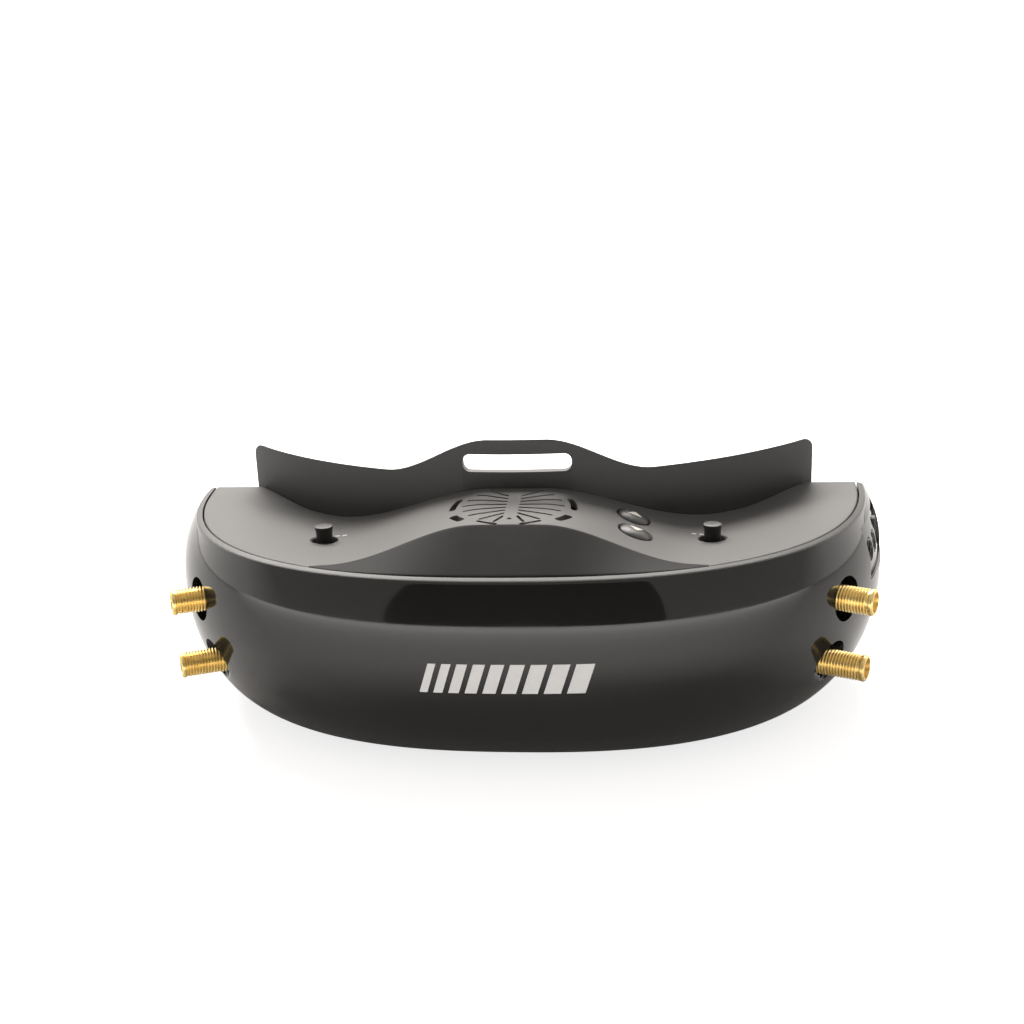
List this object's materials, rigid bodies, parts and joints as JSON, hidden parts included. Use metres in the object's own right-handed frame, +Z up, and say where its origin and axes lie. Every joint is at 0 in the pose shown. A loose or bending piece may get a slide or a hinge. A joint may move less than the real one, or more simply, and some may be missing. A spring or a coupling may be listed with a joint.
{
  "type": "fpv goggles",
  "caption": "Wrap-around video headset with a glossy front shell, antenna connectors, fan grille, joysticks and a curved face plate.",
  "frame": {"origin": "under the middle of the goggles' box, in the plane of the flat underside", "axes": "+Z up, -Y towards the glossy front, +X to the wearer's left"},
  "size_m": [0.1812, 0.0814, 0.069],
  "materials": {
    "gloss_shell": "high gloss black",
    "matte_cover": "fine spark-eroded matte",
    "plate_plastic": "matte",
    "foam": "fabric-faced foam",
    "black_plastic": "satin",
    "button_plastic": "satin with a light triangle",
    "gold": "gold plate",
    "ptfe": "natural",
    "circuit_board": "solder mask",
    "steel": "nickel plate",
    "lens_glass": "coated"
  },
  "bodies": {
    "housing": {"front_shell": "gloss_shell", "top_cover": "matte_cover", "bottom_cover": "plate_plastic", "face_plate": "plate_plastic", "face_foam": "foam", "port_panel": "plate_plastic", "dc_jack": "black_plastic", "av_jack": "black_plastic", "earphone_jack": "black_plastic", "hdmi_socket": "steel", "card_socket": "steel", "main_board": "circuit_board", "channel_board": "circuit_board", "fan_frame": "black_plastic", "lens_rail_lower": "steel", "lens_rail_upper": "steel", "sma_barrel_upper_left": "gold", "sma_insulator_upper_left": "ptfe", "sma_contact_upper_left": "gold", "sma_barrel_upper_right": "gold", "sma_insulator_upper_right": "ptfe", "sma_contact_upper_right": "gold", "sma_barrel_lower_left": "gold", "sma_insulator_lower_left": "ptfe", "sma_contact_lower_left": "gold", "sma_barrel_lower_right": "gold", "sma_insulator_lower_right": "ptfe", "sma_contact_lower_right": "gold", "receiver_board_left": "circuit_board", "receiver_can_left": "steel", "joystick_base_left": "steel", "bottom_screw_front_left": "steel", "bottom_screw_rear_left": "steel", "plate_screw_lower_left": "steel", "plate_screw_upper_left": "steel", "receiver_board_right": "circuit_board", "receiver_can_right": "steel", "joystick_base_right": "steel", "bottom_screw_front_right": "steel", "bottom_screw_rear_right": "steel", "plate_screw_lower_right": "steel", "plate_screw_upper_right": "steel"},
    "joystick_left_ring": {"joystick_ring_left": "steel"},
    "joystick_left_rocker": {"joystick_rocker_left": "black_plastic"},
    "joystick_left_stick": {"joystick_cap_left": "black_plastic"},
    "lens_left": {"lens_barrel_left": "black_plastic", "eyepiece_left": "lens_glass", "display_left": "black_plastic", "ipd_tab_left": "black_plastic"},
    "joystick_right_ring": {"joystick_ring_right": "steel"},
    "joystick_right_rocker": {"joystick_rocker_right": "black_plastic"},
    "joystick_right_stick": {"joystick_cap_right": "black_plastic"},
    "lens_right": {"lens_barrel_right": "black_plastic", "eyepiece_right": "lens_glass", "display_right": "black_plastic", "ipd_tab_right": "black_plastic"},
    "channel_up": {"channel_up_button": "button_plastic"},
    "channel_down": {"channel_down_button": "button_plastic"},
    "fan": {"fan_rotor": "black_plastic"}
  },
  "joints": [
    {"name": "joystick_left_tilt_fore_aft", "type": "hinge", "parent": "housing", "child": "joystick_left_ring", "pos_m": [0.0465, -0.00369, 0.0424], "axis": [1, 0, 0], "range_deg": [-8, 8], "stiffness_Nm_per_rad": 0.08},
    {"name": "joystick_left_tilt_sideways", "type": "hinge", "parent": "joystick_left_ring", "child": "joystick_left_rocker", "pos_m": [0.0465, -0.00369, 0.0424], "axis": [0, 1, 0], "range_deg": [-8, 8], "stiffness_Nm_per_rad": 0.08},
    {"name": "joystick_left_press", "type": "slide", "parent": "joystick_left_rocker", "child": "joystick_left_stick", "axis": [0, 0, -1], "range_m": [0, 0.0004], "stiffness_N_per_m": 3000},
    {"name": "joystick_right_tilt_fore_aft", "type": "hinge", "parent": "housing", "child": "joystick_right_ring", "pos_m": [-0.0465, -0.00369, 0.0424], "axis": [1, 0, 0], "range_deg": [-8, 8], "stiffness_Nm_per_rad": 0.08},
    {"name": "joystick_right_tilt_sideways", "type": "hinge", "parent": "joystick_right_ring", "child": "joystick_right_rocker", "pos_m": [-0.0465, -0.00369, 0.0424], "axis": [0, 1, 0], "range_deg": [-8, 8], "stiffness_Nm_per_rad": 0.08},
    {"name": "joystick_right_press", "type": "slide", "parent": "joystick_right_rocker", "child": "joystick_right_stick", "axis": [0, 0, -1], "range_m": [0, 0.0004], "stiffness_N_per_m": 3000},
    {"name": "channel_up_press", "type": "slide", "parent": "housing", "child": "channel_up", "axis": [-0.3631, 0.042, -0.9308], "range_m": [0, 0.0004], "stiffness_N_per_m": 3000},
    {"name": "channel_down_press", "type": "slide", "parent": "housing", "child": "channel_down", "axis": [-0.3524, 0.0088, -0.9358], "range_m": [0, 0.0004], "stiffness_N_per_m": 3000},
    {"name": "fan_spin", "type": "hinge", "parent": "housing", "child": "fan", "pos_m": [0, -0.00909, 0.0486], "axis": [0, 0, 1], "continuous": true},
    {"name": "eye_spacing_left", "type": "slide", "parent": "housing", "child": "lens_left", "axis": [1, 0, 0], "range_m": [-0.0025, 0.0025]},
    {"name": "eye_spacing_right", "type": "slide", "parent": "housing", "child": "lens_right", "axis": [-1, 0, 0], "range_m": [-0.0025, 0.0025]}
  ]
}
